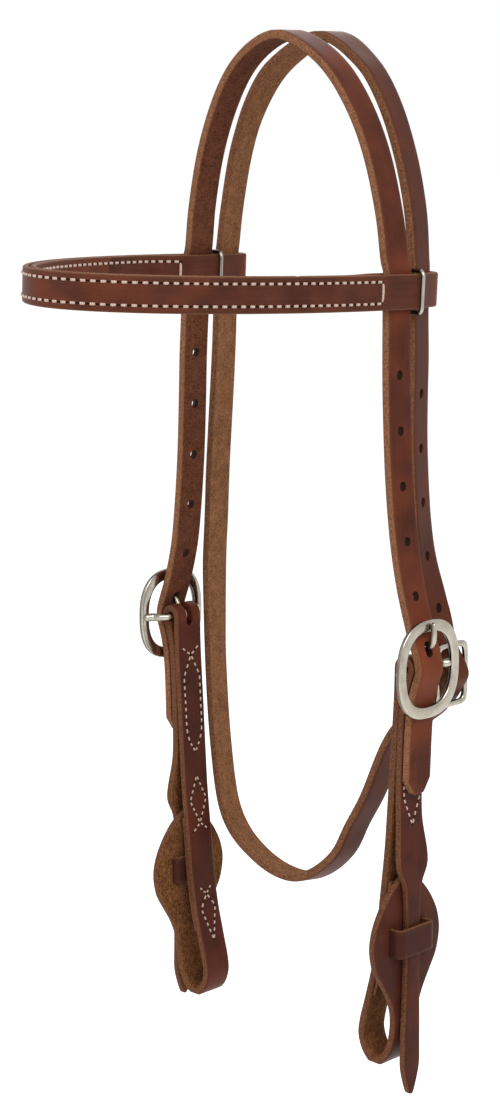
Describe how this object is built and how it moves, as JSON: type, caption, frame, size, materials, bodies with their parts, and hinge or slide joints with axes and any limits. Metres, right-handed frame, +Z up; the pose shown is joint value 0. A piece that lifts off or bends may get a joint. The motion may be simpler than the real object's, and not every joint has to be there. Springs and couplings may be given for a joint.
{
  "type": "western headstall",
  "caption": "Western browband headstall: double crown strap with throatlatch, folded browband, buckled cheekpieces and quick-change bit loops with tucked tabs.",
  "frame": {"origin": "underside of the two crown straps at the poll, midway between them on the horse's centre plane", "axes": "+X towards the horse's left (near) side, -Y forward to the brow, +Z up"},
  "size_m": [0.1806, 0.1895, 0.4954],
  "materials": {
    "strap_leather": "oiled smooth grain, dark red-brown",
    "lining_leather": "smooth lining leather",
    "backing_leather": "rough flesh side",
    "hardware": "satin stainless steel"
  },
  "bodies": {
    "crown": {"crown_strap": "strap_leather"},
    "throatlatch": {"throatlatch_strap": "strap_leather"},
    "throat_buckle": {"throat_buckle": "hardware"},
    "throat_tongue": {"throat_tongue": "hardware"},
    "browband": {"browband_strap": "strap_leather", "browband_lining": "lining_leather"},
    "near_loop": {"near_browband_loop": "hardware"},
    "far_loop": {"far_browband_loop": "hardware"},
    "near_buckle": {"near_cheek_buckle": "hardware"},
    "near_tongue": {"near_cheek_tongue": "hardware"},
    "near_cheek": {"near_cheekpiece": "strap_leather", "near_loop_backing": "backing_leather", "near_tab_keeper": "strap_leather"},
    "far_buckle": {"far_cheek_buckle": "hardware"},
    "far_tongue": {"far_cheek_tongue": "hardware"},
    "far_cheek": {"far_cheekpiece": "strap_leather", "far_loop_backing": "backing_leather", "far_tab_keeper": "strap_leather"}
  },
  "joints": [
    {"name": "throatlatch_slide", "type": "slide", "parent": "crown", "child": "throatlatch", "axis": [0, 0, 1], "range_m": [0, 0.006]},
    {"name": "throat_buckle_tilt", "type": "hinge", "parent": "throatlatch", "child": "throat_buckle", "pos_m": [0.074, 0.0165, -0.2905], "axis": [0, 1, 0], "range_deg": [-3, 0]},
    {"name": "throat_tongue_lift", "type": "hinge", "parent": "throat_buckle", "child": "throat_tongue", "pos_m": [0.074, 0.0165, -0.2905], "axis": [0, 1, 0], "range_deg": [0, 12]},
    {"name": "browband_slide", "type": "slide", "parent": "crown", "child": "browband", "axis": [0, 0, 1], "range_m": [-0.006, 0]},
    {"name": "near_loop_lift", "type": "slide", "parent": "browband", "child": "near_loop", "axis": [0, 0, 1], "range_m": [0, 0.0006]},
    {"name": "far_loop_lift", "type": "slide", "parent": "browband", "child": "far_loop", "axis": [0, 0, 1], "range_m": [0, 0.0006]},
    {"name": "near_buckle_tilt", "type": "hinge", "parent": "crown", "child": "near_buckle", "pos_m": [0.078, -0.0096, -0.282], "axis": [0, 1, 0], "range_deg": [-4, 0]},
    {"name": "near_tongue_lift", "type": "hinge", "parent": "near_buckle", "child": "near_tongue", "pos_m": [0.078, -0.0096, -0.282], "axis": [0, 1, 0], "range_deg": [0, 12]},
    {"name": "near_cheek_swing", "type": "hinge", "parent": "crown", "child": "near_cheek", "pos_m": [0.078, -0.0096, -0.282], "axis": [0, 1, 0], "range_deg": [0, 6]},
    {"name": "far_buckle_tilt", "type": "hinge", "parent": "crown", "child": "far_buckle", "pos_m": [-0.078, -0.0096, -0.282], "axis": [0, 1, 0], "range_deg": [0, 4]},
    {"name": "far_tongue_lift", "type": "hinge", "parent": "far_buckle", "child": "far_tongue", "pos_m": [-0.078, -0.0096, -0.282], "axis": [0, 1, 0], "range_deg": [-12, 0]},
    {"name": "far_cheek_swing", "type": "hinge", "parent": "crown", "child": "far_cheek", "pos_m": [-0.078, -0.0096, -0.282], "axis": [0, 1, 0], "range_deg": [-6, 0]}
  ]
}
